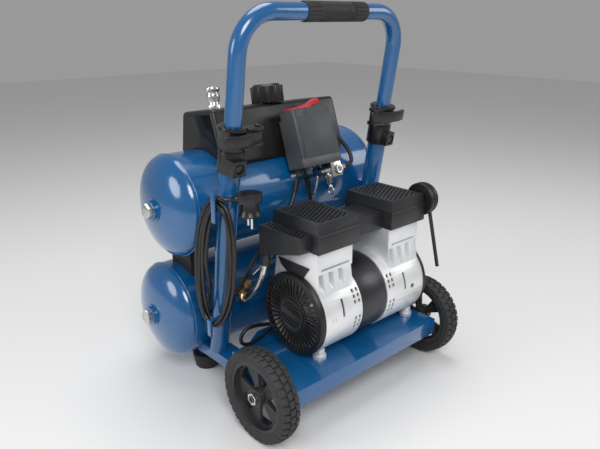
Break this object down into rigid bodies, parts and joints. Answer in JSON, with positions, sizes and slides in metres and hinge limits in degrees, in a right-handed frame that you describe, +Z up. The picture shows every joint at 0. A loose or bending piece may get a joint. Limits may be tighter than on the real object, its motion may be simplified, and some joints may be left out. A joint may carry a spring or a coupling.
{
  "type": "air compressor",
  "caption": "Wheeled oil-free air compressor: boxer pump on a folded platform, stacked horizontal tanks, control console, telescopic U handle.",
  "frame": {"origin": "centre of the overall box at floor height", "axes": "+X along the axle, motor shaft and tanks; +Y from the wheels towards the tanks; +Z up"},
  "size_m": [0.528, 0.448, 0.6832],
  "materials": {
    "blue_paint": "glossy blue powder coat",
    "black_metal": "satin black paint",
    "zinc": "zinc-plated steel",
    "brass": "turned brass",
    "cast_aluminium": "die-cast aluminium, lightly blasted",
    "motor_steel": "machined aluminium and steel",
    "black_plastic": "fine-grained black moulding",
    "red_plastic": "glossy red",
    "white_needle": "orange-red pointer",
    "black_rubber": "matt rubber",
    "tyre": "matt solid rubber with a block tread"
  },
  "bodies": {
    "base": {"air_duct": "black_plastic", "axle": "black_metal", "axle_nuts": "zinc", "check_valve": "brass", "clamp_bolts": "zinc", "clamp_sleeve_left": "black_plastic", "clamp_sleeve_right": "black_plastic", "console_hose": "black_rubber", "console_housing": "black_plastic", "cord_hank": "black_rubber", "coupler_body": "zinc", "crankcase_left": "cast_aluminium", "crankcase_right": "cast_aluminium", "discharge_tube": "zinc", "drain_valve": "brass", "fan_cover_left": "black_plastic", "fan_cover_right": "black_plastic", "frame_tube_left": "blue_paint", "frame_tube_right": "blue_paint", "gauge_cases": "black_plastic", "head_cover_left": "black_plastic", "head_cover_right": "black_plastic", "intake_filter": "black_plastic", "mains_cord": "black_rubber", "mains_plug": "black_plastic", "manifold": "zinc", "motor_cable": "black_rubber", "motor_feet": "black_rubber", "motor_platform": "blue_paint", "muffler_box": "black_plastic", "pistons": "motor_steel", "regulator_body": "brass", "rubber_feet": "black_rubber", "safety_valve": "brass", "side_rails": "blue_paint", "stator_core": "black_metal", "switch_base": "black_plastic", "switch_cover": "black_plastic", "tank_link_pipe": "zinc", "tank_lower": "blue_paint", "tank_plugs": "zinc", "tank_spacers": "black_rubber", "tank_upper": "blue_paint", "unloader_tube": "zinc"},
    "wheel_left": {"tyre_left": "tyre", "rim_left": "black_plastic"},
    "wheel_right": {"tyre_right": "tyre", "rim_right": "black_plastic"},
    "handle": {"handle_tube": "blue_paint", "handle_grip": "black_rubber"},
    "lever_left": {"clamp_lever_left": "black_plastic"},
    "lever_right": {"clamp_lever_right": "black_plastic"},
    "switch_lever": {"switch_rocker": "red_plastic"},
    "pressure_knob": {"regulator_knob": "black_plastic"},
    "coupler_ring": {"coupler_sleeve": "zinc"},
    "relief_ring": {"safety_ring": "black_metal"},
    "drain_tap": {"drain_screw": "brass"},
    "tank_needle": {"needle_tank": "white_needle"},
    "outlet_needle": {"needle_outlet": "white_needle"},
    "rotor": {"motor_rotor": "zinc"}
  },
  "joints": [
    {"name": "wheel_left_turn", "type": "hinge", "parent": "base", "child": "wheel_left", "pos_m": [-0.213, -0.144, 0.08], "axis": [1, 0, 0], "continuous": true},
    {"name": "wheel_right_turn", "type": "hinge", "parent": "base", "child": "wheel_right", "pos_m": [0.213, -0.144, 0.08], "axis": [1, 0, 0], "continuous": true},
    {"name": "handle_slide", "type": "slide", "parent": "base", "child": "handle", "axis": [0, -0.1564, 0.9877], "range_m": [-0.1, 0]},
    {"name": "lever_left_swing", "type": "hinge", "parent": "base", "child": "lever_left", "pos_m": [-0.1404, -0.05773, 0.48178], "axis": [0, -0.1564, 0.9877], "range_deg": [0, 110]},
    {"name": "lever_right_swing", "type": "hinge", "parent": "base", "child": "lever_right", "pos_m": [0.1404, -0.05773, 0.48178], "axis": [0, 0.1564, -0.9877], "range_deg": [0, 110]},
    {"name": "switch_rock", "type": "hinge", "parent": "base", "child": "switch_lever", "pos_m": [0.033, 0.02571, 0.49271], "axis": [0, 0.9511, -0.309], "range_deg": [0, 12]},
    {"name": "pressure_turn", "type": "hinge", "parent": "base", "child": "pressure_knob", "pos_m": [0, 0.08671, 0.52056], "axis": [0, 0.1473, 0.9891], "range_deg": [-720, 720]},
    {"name": "coupler_slide", "type": "slide", "parent": "base", "child": "coupler_ring", "axis": [0, -0.1473, -0.9891], "range_m": [0, 0.005], "stiffness_N_per_m": 1000, "springref_m": -0.002},
    {"name": "relief_pull", "type": "slide", "parent": "base", "child": "relief_ring", "axis": [0, -0.309, -0.9511], "range_m": [0, 0.002], "stiffness_N_per_m": 2500, "springref_m": -0.001},
    {"name": "drain_turn", "type": "hinge", "parent": "base", "child": "drain_tap", "pos_m": [0, 0.1318, 0.034], "axis": [0, 0, 1], "range_deg": [0, 360]},
    {"name": "tank_needle_turn", "type": "hinge", "parent": "base", "child": "tank_needle", "pos_m": [-0.05, 0.16091, 0.464], "axis": [0, -0.9901, -0.1407], "range_deg": [0, 270]},
    {"name": "outlet_needle_turn", "type": "hinge", "parent": "base", "child": "outlet_needle", "pos_m": [0.05, 0.16091, 0.464], "axis": [0, -0.9901, -0.1407], "range_deg": [0, 270]},
    {"name": "motor_turn", "type": "hinge", "parent": "base", "child": "rotor", "pos_m": [0.0285, -0.107, 0.1755], "axis": [1, 0, 0], "continuous": true}
  ]
}
